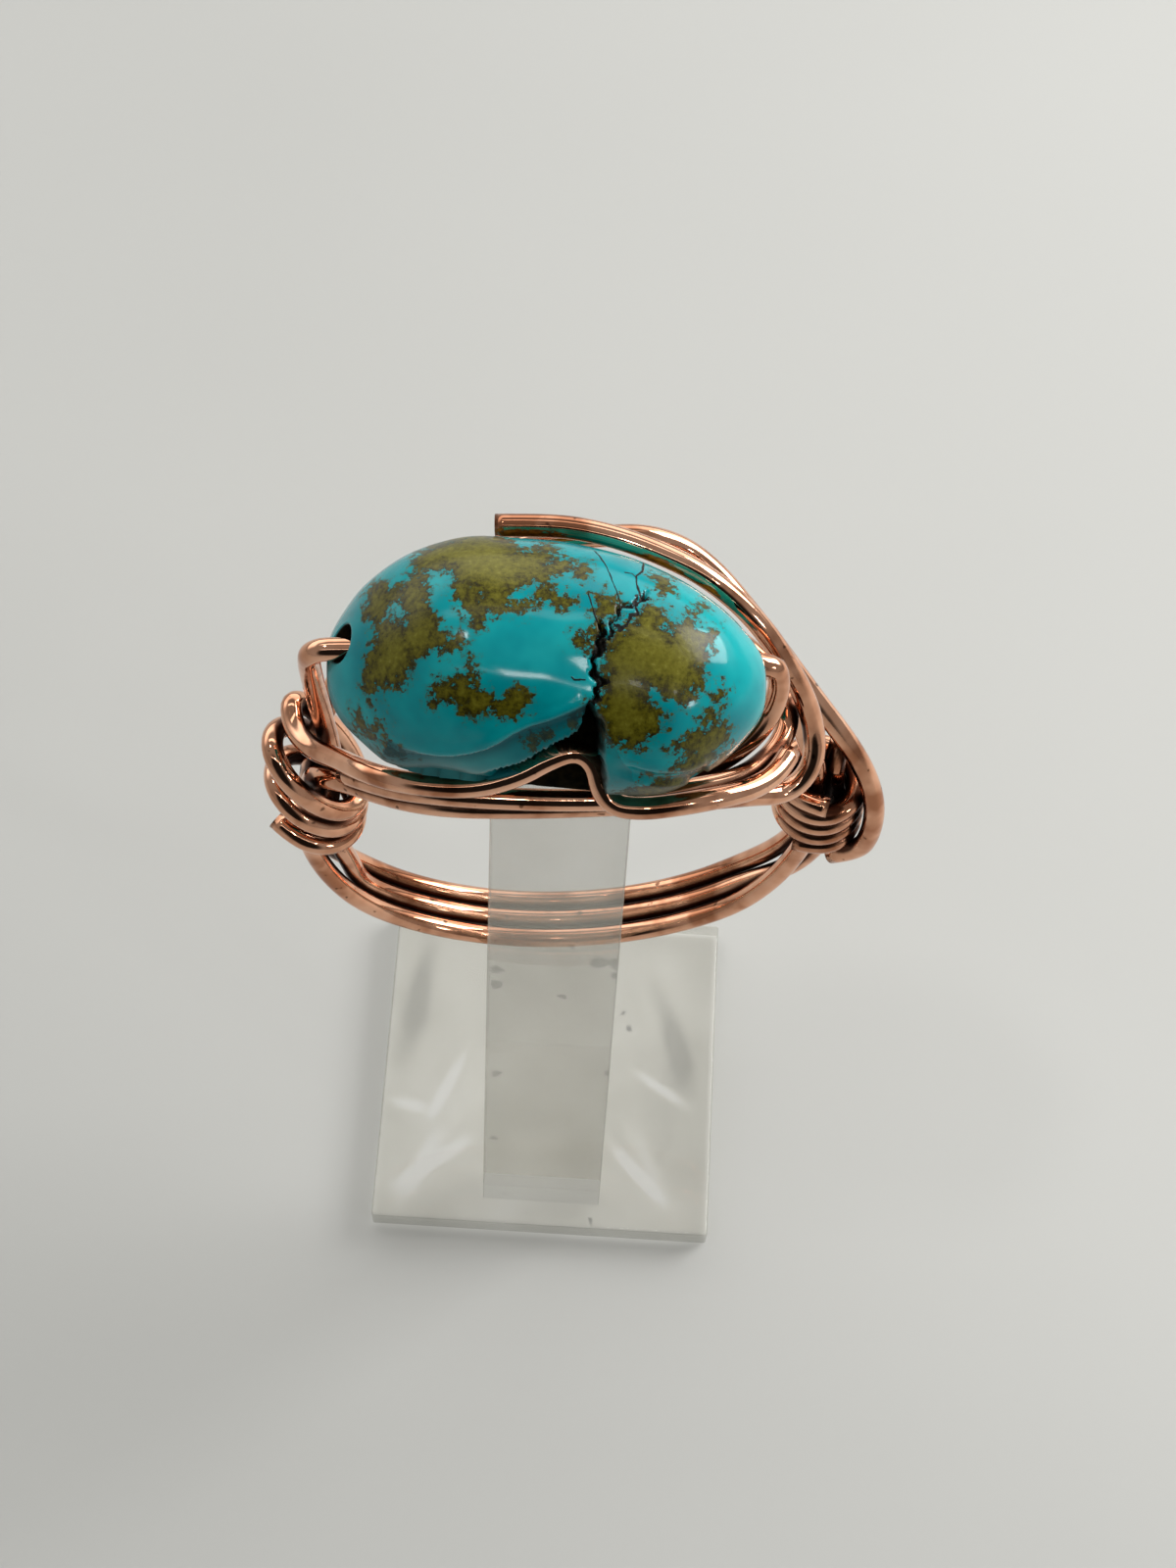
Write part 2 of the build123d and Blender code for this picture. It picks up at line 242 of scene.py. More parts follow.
def tube(name, points, radius):
    """Round wire along a smooth line."""
    sections = tube_sections(points, radius)
    verts, faces = [], []
    for place, reach, normal, side in sections:
        for j in range(TUBE_SIDES):
            a = 2 * pi * j / TUBE_SIDES
            verts.append(place + normal * (reach * cos(a)) + side * (reach * sin(a)))
    for i in range(len(sections) - 1):
        faces += ring_faces(i, i + 1, TUBE_SIDES)
    faces.append(tuple(range(TUBE_SIDES - 1, -1, -1)))
    last = (len(sections) - 1) * TUBE_SIDES
    faces.append(tuple(last + j for j in range(TUBE_SIDES)))
    mesh = bpy.data.meshes.new(name)
    mesh.from_pydata([tuple((v + RING_CENTRE) * MM) for v in verts], [], faces)
    mesh.polygons.foreach_set("use_smooth", [True] * (len(faces) - 2) + [False] * 2)
    mesh.update()
    return new_object(name, mesh)


def closeness(obj, others):
    """Stores how near each point of a wire lies to another wire, or to another turn of its own."""
    values = []
    for vert in obj.data.vertices:
        probe = vert.co / MM + vert.normal * PROBE
        values.append(WIRE / 2 + PROBE - others.find(probe)[2])
    obj.data.attributes.new("closeness", "FLOAT", "POINT").data.foreach_set("value", values)


# Name, node that it replaces and route
WIRES = [("front_band_smooth", "front_band_wire", front_points),
         ("back_band_smooth", "back_band_wire", back_points),
         ("middle_band_smooth", "middle_band_wire", middle_points),
         ("front_accent_smooth", "front_accent_wire", accent_points),
         ("right_wrap_smooth", "right_wrap_wire", wrap_points)]
wires = {}
for name, node, points in WIRES:
    wires[name] = tube(name, points, WIRE / 2)
    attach(wires[name], "root")
    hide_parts(node)

centre_lines = [p + RING_CENTRE for *_, points in WIRES for p in curve_line(points, FINE_STEPS)]
lines_tree = KDTree(len(centre_lines))
for k, p in enumerate(centre_lines):
    lines_tree.insert(p, k)
lines_tree.balance()
for wire in wires.values():
    closeness(wire, lines_tree)


# The turquoise bead

BEAD_CENTRE = np.array([BEAD_SHIFT * BEAD.x, -BEAD_FORWARD * BEAD.y, BEAD_RISE])
BEAD_ROWS = np.array([
    # along, depth, height, forward, lift
    (-1, 0.1, 0.1, -0.06, -0.2), (-0.94, 0.42, 0.36, -0.05, -0.18),
    (-0.82, 0.65, 0.6, -0.055, -0.11), (-0.62, 0.88, 0.84, -0.03, -0.04),
    (-0.36, 1.01, 0.97, -0.01, 0), (-0.06, 1.03, 0.98, 0.03, 0),
    (0.26, 1.01, 0.96, 0.11, 0), (0.54, 0.91, 0.88, 0.21, 0), (0.76, 0.68, 0.7, 0.24, 0),
    (0.91, 0.43, 0.46, 0.25, 0), (1, 0.1, 0.1, 0.26, 0)])
ROW_TURNS = np.arcsin(BEAD_ROWS[:, 0])

# The photo looks down on the ring at this angle, and the stone's outlines are drawn square to it
VIEW_TILT = radians(63.5)
CHART_UNIT = BEAD.x / 2
FACING = np.array([0, -cos(VIEW_TILT), sin(VIEW_TILT)])
RAISED = np.array([0, sin(VIEW_TILT), cos(VIEW_TILT)])

# Brown patches, plain windows in them and lines on the stone's upper front, in thousandths of half its
# length across and up
PATCHES = {
    "upper_left": [
        (-600, 478), (-491, 547), (-379, 576), (-245, 584), (-148, 548), (-110, 497), (-35, 503),
        (29, 527), (62, 488), (28, 417), (39, 369), (20, 323), (36, 278), (10, 246), (-25, 224),
        (-47, 198), (-77, 176), (-159, 177), (-214, 164), (-253, 160), (-283, 143), (-296, 109),
        (-330, 109), (-343, 149), (-334, 188), (-377, 219), (-407, 211), (-424, 252), (-420, 356),
        (-463, 386), (-516, 365), (-533, 333), (-502, 304), (-519, 260), (-489, 196), (-463, 165),
        (-455, 117), (-408, 85), (-369, 93), (-352, 54), (-408, 29), (-503, 19), (-534, 2), (-564, -27),
        (-595, -69), (-605, -111), (-645, -148), (-675, -117), (-712, -150), (-743, -132), (-771, -161),
        (-773, -221), (-796, -211), (-808, -176), (-825, -120), (-823, -41), (-804, 19), (-772, 74),
        (-763, 131), (-782, 173), (-825, 209), (-808, 268), (-806, 311), (-770, 356), (-713, 347),
        (-661, 309), (-613, 343), (-574, 392), (-607, 435)],
    "island": [
        (-340, 7), (-315, -11), (-311, -66), (-299, -109), (-261, -164), (-214, -190), (-175, -174),
        (-145, -136), (-124, -128), (-120, -162), (-68, -183), (-60, -209), (-107, -238), (-155, -276),
        (-194, -284), (-215, -271), (-202, -229), (-253, -258), (-318, -282), (-357, -265), (-404, -226),
        (-450, -195), (-499, -224), (-520, -211), (-506, -169), (-518, -139), (-505, -105), (-466, -106),
        (-440, -115), (-410, -86), (-362, -65), (-353, -23)],
    "right": [
        (446, 223), (477, 228), (521, 215), (528, 188), (516, 125), (537, 108), (557, 144), (612, 176),
        (661, 215), (701, 232), (731, 205), (699, 175), (668, 128), (737, 126), (778, 114), (775, 73),
        (731, 32), (702, 5), (705, -48), (691, -74), (718, -104), (704, -160), (646, -173), (611, -220),
        (562, -203), (514, -194), (480, -168), (476, -151), (441, -155), (441, -194), (485, -241),
        (524, -275), (525, -335), (487, -360), (440, -376), (411, -406), (381, -427), (334, -418),
        (277, -404), (247, -395), (207, -386), (181, -361), (228, -327), (219, -272), (210, -234),
        (231, -170), (244, -141), (227, -106), (236, -72), (245, 0), (263, 47), (298, 86), (325, 117),
        (396, 174)],
    "lower_right": [
        (777, -125), (804, -159), (800, -198), (763, -211), (770, -297), (827, -313), (832, -369),
        (798, -417), (753, -477), (700, -521), (627, -520), (562, -511), (572, -468), (628, -447),
        (617, -421), (565, -437), (528, -407), (527, -381), (566, -382), (591, -344), (649, -335),
        (694, -352), (697, -305), (661, -288), (691, -246), (740, -237), (735, -181)],
    "by_crack": [
        (200, 268), (249, 286), (291, 268), (320, 241), (354, 223), (319, 196), (283, 161), (252, 117),
        (229, 65), (211, -4), (177, 9), (143, 31), (109, 62), (152, 74), (102, 114), (157, 109),
        (205, 143), (193, 187), (225, 223)],
    "middle": [(11, 296), (62, 277), (130, 246), (155, 214), (129, 183), (73, 188), (35, 211), (6, 246)],
    "upper_middle": [
        (33, 441), (82, 457), (129, 427), (189, 413), (204, 365), (177, 332), (134, 350), (91, 374),
        (39, 365)],
    "spot": [(470, 356), (508, 368), (575, 365), (556, 311), (579, 268), (534, 271), (491, 298)],
    "front_edge": [
        (-880, -212), (-834, -240), (-790, -285), (-734, -265), (-708, -287), (-747, -325), (-713, -364),
        (-653, -418), (-612, -457), (-684, -434), (-769, -367), (-857, -291)],
    "bottom_right": [
        (300, -610), (370, -590), (430, -560), (520, -555), (620, -540), (680, -525), (730, -480),
        (800, -420), (860, -550), (700, -740), (360, -760)],
    "under_ridge": [
        (-125, -391), (-82, -362), (-13, -354), (30, -359), (-8, -401), (-60, -430), (-108, -425)],
    "notch_edge": [
        (65, -342), (82, -291), (133, -258), (150, -233), (176, -233), (141, -275), (133, -326),
        (91, -368)],
}
WINDOWS = [
    [(-691, 179), (-674, 232), (-638, 239), (-624, 211), (-642, 167), (-673, 156)],
    [(-325, 245), (-299, 289), (-278, 271), (-282, 227), (-312, 209)],
    [(-136, 288), (-101, 306), (-54, 296), (-76, 252), (-119, 243)]]
LINES = {
    "crack_low": [
        (188, -225), (214, -170), (235, -128), (201, -93), (193, -55), (215, -4), (225, 48), (238, 91),
        (235, 134)],
    "crack_high": [
        (241, 22), (264, 73), (290, 117), (287, 152), (314, 183), (337, 209), (376, 218), (403, 241),
        (445, 269)],
    "crack_loop": [(286, 121), (320, 108), (355, 130), (365, 169), (396, 183), (398, 214)],
    "crack_side": [(201, -106), (231, -128), (265, -115)],
    "vein_left": [(234, 108), (210, 170), (195, 232), (183, 277)],
    "vein_mid": [(327, 196), (317, 259), (294, 332), (276, 390), (253, 439), (226, 481)],
    "vein_right": [(422, 255), (403, 306), (402, 353), (436, 380), (449, 431)],
    "vein_twig": [(406, 344), (385, 368), (354, 372)],
    "vein_low": [(103, -101), (116, -114), (163, -114)],
    "ridge": [
        (-702, -352), (-641, -388), (-562, -415), (-492, -429), (-422, -434), (-352, -427), (-282, -410),
        (-220, -381), (-159, -344), (-82, -310), (4, -286), (81, -257), (133, -233), (175, -208)],
    "ridge_right": [
        (300, -448), (354, -478), (420, -501), (496, -515), (576, -515), (648, -507), (719, -477)],
    "streak": [(-164, 69), (-101, 34), (-28, -1), (48, -28), (125, -58), (193, -89)],
}

# Brown patches of the unseen sides: across, forward and up from the middle, as shares of the
# half sizes, and radius as a share of half the length
BACK_BLOBS = [
    (-0.55, -0.55, 0.62, 0.2), (-0.3, -0.8, 0.52, 0.24), (-0.05, -0.86, 0.42, 0.2),
    (0.12, -0.95, 0.1, 0.13), (-0.42, -0.88, -0.1, 0.17), (-0.68, -0.55, -0.3, 0.13),
    (0.5, -0.72, 0.3, 0.18), (0.62, -0.55, -0.25, 0.2), (0.34, -0.8, -0.45, 0.15),
    (-0.1, -0.62, -0.78, 0.24), (-0.38, -0.2, -0.92, 0.2), (0.16, 0.15, -0.98, 0.18),
    (0.5, 0.1, -0.86, 0.26), (0.72, 0.55, -0.42, 0.2), (-0.66, 0.3, -0.62, 0.14),
    (0.86, 0.05, 0.12, 0.1), (-0.86, -0.1, -0.35, 0.1)]


def smooth_step(value, low, high):
    t = np.clip((value - low) / (high - low), 0, 1)
    return t * t * (3 - 2 * t)


def row_value(turn, column):
    values = BEAD_ROWS[:, column]
    slopes = np.gradient(values, ROW_TURNS)
    i = np.clip(np.searchsorted(ROW_TURNS, turn) - 1, 0, len(ROW_TURNS) - 2)
    gap = ROW_TURNS[i + 1] - ROW_TURNS[i]
    t = np.clip((turn - ROW_TURNS[i]) / gap, 0, 1)
    return ((1 + 2 * t) * (1 - t) ** 2 * values[i] + t * (1 - t) ** 2 * gap * slopes[i]
            + t * t * (3 - 2 * t) * values[i + 1] + t * t * (t - 1) * gap * slopes[i + 1])


def bead_field(p):
    """Below zero inside the bead."""
    along = (p[:, 0] - BEAD_CENTRE[0]) / (BEAD.x / 2)
    turn = np.arcsin(np.clip(along, -1, 1))
    y = BEAD_CENTRE[1] - row_value(turn, 3) * BEAD.y / 2
    z = BEAD_CENTRE[2] + row_value(turn, 4) * BEAD.z / 2
    depth = row_value(turn, 1) * BEAD.y / 2
    height = row_value(turn, 2) * BEAD.z / 2
    field = ((p[:, 1] - y) / depth) ** 2 + ((p[:, 2] - z) / height) ** 2 - 1
    return np.where(np.abs(along) > 1, 1, field)


def reach_surface(origin, directions):
    near = np.zeros(len(directions))
    far = np.full(len(directions), 0.7 * BEAD.x)
    for _ in range(26):
        middle = (near + far) / 2
        inside = bead_field(origin + directions * middle[:, None]) < 0
        near = np.where(inside, middle, near)
        far = np.where(inside, far, middle)
    return near


def inside_distance(a, b, outline):
    """Distance in mm to a closed outline, above zero inside it."""
    least = np.full(len(a), 1e9)
    inside = np.zeros(len(a), bool)
    for (ax, ay), (bx, by) in zip(outline, outline[1:] + outline[:1]):
        dx, dy = bx - ax, by - ay
        t = np.clip(((a - ax) * dx + (b - ay) * dy) / (dx * dx + dy * dy), 0, 1)
        least = np.minimum(least, np.hypot(a - ax - t * dx, b - ay - t * dy))
        if dy:
            inside ^= ((ay > b) != (by > b)) & (a < ax + (b - ay) * dx / dy)
    return np.where(inside, least, -least) * CHART_UNIT


def line_place(a, b, line):
    """Distance in mm from a line, below zero to the right of its direction, and the share along it."""
    lengths = [sqrt((c[0] - d[0]) ** 2 + (c[1] - d[1]) ** 2) for c, d in zip(line, line[1:])]
    least = np.full(len(a), 1e9)
    side = np.zeros(len(a))
    share = np.zeros(len(a))
    done = 0
    for (ax, ay), (bx, by), length in zip(line, line[1:], lengths):
        dx, dy = bx - ax, by - ay
        t = np.clip(((a - ax) * dx + (b - ay) * dy) / (length * length), 0, 1)
        apart = np.hypot(a - ax - t * dx, b - ay - t * dy)
        nearer = apart < least
        least = np.where(nearer, apart, least)
        side = np.where(nearer, dx * (b - ay) - dy * (a - ax), side)
        share = np.where(nearer, (done + t * length) / sum(lengths), share)
        done += length
    return np.where(side < 0, -least, least) * CHART_UNIT, share


# Rings along the bore and points round each, the bore's mouth in mm and its place off the wire
BEAD_RINGS = 330
BEAD_SIDES = 232
MOUTH_RADIUS = 0.72
BORE_SHIFT = np.array([0, 0.06, 0.16])
# Radius and depth in mm of the rings inside each mouth
BORE_STEPS = [(0.66, 0.05), (0.62, 0.16), (0.58, 0.45), (0.56, 1.2)]
END_SHARE = 0.06
# Distances in mm that stand for no line near and no ridge above
FAR = 9.0
NO_RIDGE = -3.0
# Height in mm of the soft unevenness of a hand polished stone
WAVE = 0.018

# Zigzag of the cracks: size in mm, waves per mm across and up, and start
JAGS = [(0.055, 0, 11.5, 0), (0.045, 7.3, 7.3, 1)]
# Cracks cut into the stone: half width and depth in mm
CUTS = [("crack_low", 0.11, 0.44), ("crack_high", 0.08, 0.28),
        ("crack_loop", 0.05, 0.12), ("crack_side", 0.05, 0.1)]
# Flutes under the ridges: depth and reach in mm
FLUTES = [("ridge", 0.42, 2.2), ("ridge_right", 0.18, 0.5)]
# Swellings low on the front: share along, half length, degrees below the view, half width, height in mm
SWELLS = [(-0.68, 0.2, 98, 30, 0.26), (-0.15, 0.3, 120, 15, 0.22)]
# Middle of the stone's waist on the chart, its depth and width in mm; depth and width of the valley
WAIST = (0.188, -0.221, 0.12, 1.7)
VALLEY = (0.07, 0.55)

# The cleft at the front: its tip, the way it is cut, its size and depth in mm and its outline
CLEFT_TIP = np.array([0.16 * BEAD.x / 2, -0.745 * BEAD.y / 2, 0.66 * BEAD.z / 2])
CLEFT_SLANT = radians(60)
CLEFT_AXIS = np.array([0, -cos(CLEFT_SLANT), sin(CLEFT_SLANT)])
CLEFT_UP = np.array([0, sin(CLEFT_SLANT), cos(CLEFT_SLANT)])
CLEFT_SIZE = (1.9, 3)
CLEFT_SINK = 5.16
CLEFT_ROWS = [
    (0.09, 0.02), (-0.07, -0.3), (-0.3, -0.4), (-0.58, -0.483), (-1.11, -0.683), (-1.79, -0.807),
    (-2.37, -0.85), (-2.37, -1.6), (0.52, -1.6), (0.36, -0.56), (0.34, -0.22)]
# Its open tip and the place under the hump of the wire, which take painted shade, in mm from the tip
DARK_TIP = (-0.95, -1.75)
DARK_LOW = (-2.9, -1.9)
# Where it fades out at the left, and the room between the stone and a wire before it, in mm
CLEFT_FADE = (-4.2, -2.4)
WIRE_ROOM = 0.06

# Half width in mm and raggedness of each line that shows
SHOWN_LINES = {"crack_low": (0.13, 0.26), "crack_high": (0.08, 0.22), "crack_loop": (0.05, 0.14),
               "crack_side": (0.04, 0.06), "vein_left": (0.022, 0.03), "vein_mid": (0.02, 0.03),
               "vein_right": (0.03, 0.04), "vein_twig": (0.028, 0.03), "vein_low": (0.03, 0.04)}


def bead_grid():
    """Rings of points round the bore, from its left mouth to its right one, and the bore's rings."""
    start = np.array(BORE[0]) + BORE_SHIFT
    end = np.array(BORE[1]) + BORE_SHIFT
    length = np.linalg.norm(end - start)
    axis = (end - start) / length
    origin = start + axis * 0.5 * length
    first = np.cross(axis, np.array([0, 0, 1]))
    first /= np.linalg.norm(first)
    second = np.cross(axis, first)
    angles = np.linspace(0, 2 * pi, BEAD_SIDES, endpoint=False)
    out = first * np.cos(angles)[:, None] + second * np.sin(angles)[:, None]
    sweep = np.linspace(0, pi, 2000)
    profile = np.stack([-np.cos(sweep) * BEAD.x / 2, np.sin(sweep) * BEAD.y / 2], 1)
    run = np.concatenate([[0], np.cumsum(np.linalg.norm(np.diff(profile, axis=0), axis=1))])
    even = np.interp(np.linspace(END_SHARE, 1 - END_SHARE, BEAD_RINGS) * run[-1], run, sweep)
    polar = np.arctan2(np.sin(even) * BEAD.y, -np.cos(even) * BEAD.x)
    polar = (polar[0] - polar) / (polar[0] - polar[-1])

    def mouth(sign):
        lean = np.full(BEAD_SIDES, MOUTH_RADIUS / (BEAD.x / 2))
        for _ in range(8):
            rays = -sign * axis * np.cos(lean)[:, None] + out * np.sin(lean)[:, None]
            lean = np.arcsin(np.clip(MOUTH_RADIUS / reach_surface(origin, rays), 0, 0.9))
        return lean

    left, right = mouth(1), mouth(-1)
    rings = []
    for share in polar:
        lean = left + share * (pi - right - left)
        rays = -axis * np.cos(lean)[:, None] + out * np.sin(lean)[:, None]
        rings.append(origin + rays * reach_surface(origin, rays)[:, None])
    grid = np.array(rings)
    bore = []
    deepest = BORE_STEPS[-1][1]
    for ring, sign in ((grid[0], 1), (grid[-1], -1)):
        places = (ring - origin) @ axis
        for radius, depth in BORE_STEPS:
            level = (places.mean() - places) * depth / deepest + places + sign * depth
            bore.append(origin + axis * level[:, None] + out * radius)
    return grid, bore


def grid_normals(grid):
    around = np.roll(grid, -1, axis=1) - np.roll(grid, 1, axis=1)
    along = np.gradient(grid, axis=0)
    normals = np.cross(around, along)
    normals /= np.linalg.norm(normals, axis=2)[:, :, None]
    outward = (normals * (grid - BEAD_CENTRE)).sum(axis=2).mean() > 0
    return normals if outward else -normals


def brown_field(offset, a, b, facing):
    """Depth in mm inside the brown patches, below zero outside them."""
    drawn = np.full(len(a), -FAR)
    for outline in PATCHES.values():
        drawn = np.maximum(drawn, inside_distance(a, b, shares(outline)))
    for outline in WINDOWS:
        drawn = np.minimum(drawn, -inside_distance(a, b, shares(outline)))
    hidden = np.full(len(a), -FAR)
    for x, y, z, radius in BACK_BLOBS:
        place = np.array([x * BEAD.x / 2, -y * BEAD.y / 2, z * BEAD.z / 2])
        hidden = np.maximum(hidden, radius * CHART_UNIT - np.linalg.norm(offset - place, axis=1))
    x, y, z = offset.T
    hidden += 0.55 * np.sin(2.3 * x + 1.9 * z + 1) * np.sin(2.9 * y - 1.1 * x + 2)
    hidden += 0.35 * np.sin(5.1 * z + 2.2 * y) * np.sin(4.3 * x + 3 * y + 0.5) - 0.1
    seen = smooth_step(facing, -0.3, 0.1)
    return np.clip(drawn, -2, 2) * seen + np.clip(hidden, -2, 2) * (1 - seen)


def line_fields(a, b, facing):
    """Signed distance in mm from each drawn line and the share along it."""
    fields = {}
    for name, line in LINES.items():
        apart, share = line_place(a, b, shares(line))
        if name.startswith("crack"):
            for size, across, up, start in JAGS:
                apart = apart + size * np.sin((across * a + up * b) * CHART_UNIT + start)
        apart = np.where(facing > -0.2, apart, FAR)
        fields[name] = np.stack([apart, share, np.zeros(len(a))], 1)
    return fields


def relief(a, b, turn, facing, fields):
    """Depth in mm of the surface under the plain stone, and where a crack stands open."""
    sink = np.zeros(len(a))
    opened = np.zeros(len(a))
    for name, width, depth in CUTS:
        inside = width - np.abs(fields[name][:, 0])
        sink = np.maximum(sink, depth * smooth_step(inside, 0, 0.08))
        opened = np.maximum(opened, smooth_step(inside - 0.05, 0, 0.02))
    for name, depth, reach in FLUTES:
        below = -fields[name][:, 0]
        share = fields[name][:, 1]
        ends = smooth_step(share, 0, 0.25) * (1 - smooth_step(share, 0.96, 1))
        flute = smooth_step(below, 0, 0.3) * (1 - smooth_step(below, 0.4, reach))
        raised = 0.05 * np.exp(-((below + 0.1) / 0.16) ** 2)
        sink += ends * np.where(np.abs(below) < 3, depth * flute - raised, 0)

    # The two lobes meet in a shallow valley that ends at the cleft
    apart, share = fields["streak"][:, 0], fields["streak"][:, 1]
    sink += VALLEY[0] * np.exp(-(apart / VALLEY[1]) ** 2) * smooth_step(share, 0, 0.9)
    across, up, depth, width = WAIST
    apart = np.hypot(a - across, (b - up) * 0.8) * CHART_UNIT
    sink += np.where(facing > 0, depth * np.exp(-(apart / width) ** 2), 0)
    for along, length, angle, width, height in SWELLS:
        sink -= height * np.exp(-((a - along) / length) ** 2 - ((turn - angle) / width) ** 2)
    return sink, opened


def cut_cleft(points):
    """Pushes what lies before the cleft's shelf back to it; gives also the places where its shade is
    painted.
    """
    slot = points - BEAD_CENTRE - CLEFT_TIP
    depth = slot @ CLEFT_AXIS + CLEFT_SINK
    drawn = [(x * CLEFT_SIZE[0] / CHART_UNIT, y * CLEFT_SIZE[1] / CHART_UNIT) for x, y in CLEFT_ROWS]
    x, y = slot[:, 0], slot @ CLEFT_UP
    within = inside_distance(x / CHART_UNIT, y / CHART_UNIT, drawn)
    within += 0.035 * np.sin(31 * x + 2) * np.sin(9 * y)
    push = smooth_step(within, -0.02, 0.1) * 0.97 * np.maximum(depth, 0)
    push *= smooth_step(x, *CLEFT_FADE)
    slope = 0.5 * np.minimum(0, x + 0.9)
    # Painted shade goes on the cleft's open tip and under the wire's hump
    dark = (y > DARK_TIP[1]) & (x > DARK_TIP[0]) | (y < DARK_LOW[1] + slope) & (x > DARK_LOW[0])
    crevice = smooth_step(within, -0.05, 0.06) * dark
    return points - CLEFT_AXIS * push[:, None], crevice, (within > 0.06) & dark


def clear_wires(points):
    """Sinks the points that come too near to the wires before the stone."""
    lines = [curve_line(accent_points[-17:-4], 14), curve_line(accent_points[-20:-14], 10)]
    lines += [curve_line(route(MID_ROWS, 1)[:11], 9), curve_line(route(LOW_ROWS), 9)]
    reach = WIRE / 2 + WIRE_ROOM
    for place in (np.array(p) for line in lines for p in line):
        outward = place - BEAD_CENTRE
        outward[0] = 0
        outward /= np.linalg.norm(outward)
        near = np.linalg.norm(points - place, axis=1) < reach
        away = points[near] - place
        away -= outward * np.maximum(away @ outward + 0.1, 0)[:, None]
        points[near] = place + away / np.linalg.norm(away, axis=1)[:, None] * reach


def bead_faces():
    """Faces between the rings, out of the left mouth, over the stone and through the bore."""
    steps = len(BORE_STEPS)
    rings = list(range(BEAD_RINGS + 2 * steps))
    stone, left, right = rings[:BEAD_RINGS], rings[BEAD_RINGS:-steps], rings[-steps:]
    loops = left[::-1] + stone + right + [left[-1]]
    faces = []
    for low, high in zip(loops, loops[1:]):
        faces += ring_faces(low, high, BEAD_SIDES)
    return faces


def bead_mesh():
    grid, bore = bead_grid()
    normals = grid_normals(grid).reshape(-1, 3)
    points = grid.reshape(-1, 3)
    offset = points - BEAD_CENTRE
    a = offset[:, 0] / CHART_UNIT
    b = offset @ RAISED / CHART_UNIT
    facing = normals @ FACING
    turn = np.degrees(np.arctan2(-(offset @ RAISED), offset @ FACING))
    matrix = brown_field(offset, a, b, facing)
    fields = line_fields(a, b, facing)
    sink, opened = relief(a, b, turn, facing, fields)
    points, crevice, wide = cut_cleft(points - normals * sink[:, None])
    gap = np.maximum(opened, wide)
    # Where painted shade goes on the stone: the distance below the ridge, and the low front towards the
    # wires
    under = np.where(facing > -0.6, -fields["ridge"][:, 0], NO_RIDGE)
    under = np.where(np.abs(fields["ridge"][:, 1] - 0.5) > 0.499, NO_RIDGE, under)
    low_front_shade = smooth_step(turn, 62, 94) * (1 - smooth_step(turn, 130, 170))
    wave = np.sin(2.1 * offset[:, 0] + 0.6) * np.sin(1.7 * offset[:, 1] + 2) * np.sin(1.9 * offset[:, 2])
    points = points - normals * (WAVE * wave)[:, None]
    clear_wires(points)

    faces = bead_faces()
    everything = np.concatenate([points] + bore)
    mesh = bpy.data.meshes.new("turquoise_nugget")
    mesh.from_pydata(((everything + np.array(RING_CENTRE)) * MM).tolist(), [], faces)
    mesh.update()
    middle_face = mesh.polygons[len(BORE_STEPS) * BEAD_SIDES + BEAD_RINGS // 2 * BEAD_SIDES]
    centre = (BEAD_CENTRE + np.array(RING_CENTRE)) * MM
    if (np.array(middle_face.center) - centre) @ np.array(middle_face.normal) < 0:
        mesh.flip_normals()
    mesh.polygons.foreach_set("use_smooth", [True] * len(mesh.polygons))

    # Faces in open cracks and in the cleft's painted shade take the near-black second material
    rest = len(everything) - len(points)
    dark_point = np.concatenate([gap, np.ones(rest)]) > 0.5
    mesh.polygons.foreach_set("material_index", dark_point[np.array(faces)].all(axis=1).astype(np.int32))
    for name, values, inside in (("matrix", matrix, -1), ("under", under, NO_RIDGE),
                                 ("low_front_shade", low_front_shade, 0), ("crevice", crevice, 1)):
        values = np.concatenate([values, np.full(rest, inside)]).astype(np.float32)
        mesh.attributes.new(name, "FLOAT", "POINT").data.foreach_set("value", values)
    for name in SHOWN_LINES:
        values = np.concatenate([fields[name], np.tile([FAR, 0.5, 0], (rest, 1))])
        layer = mesh.attributes.new(name, "FLOAT_VECTOR", "POINT")
        layer.data.foreach_set("vector", values.astype(np.float32).ravel())
    return new_object("turquoise_nugget", mesh)


bead = bead_mesh()
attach(bead, "root")
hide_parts("turquoise_bead")


# Materials

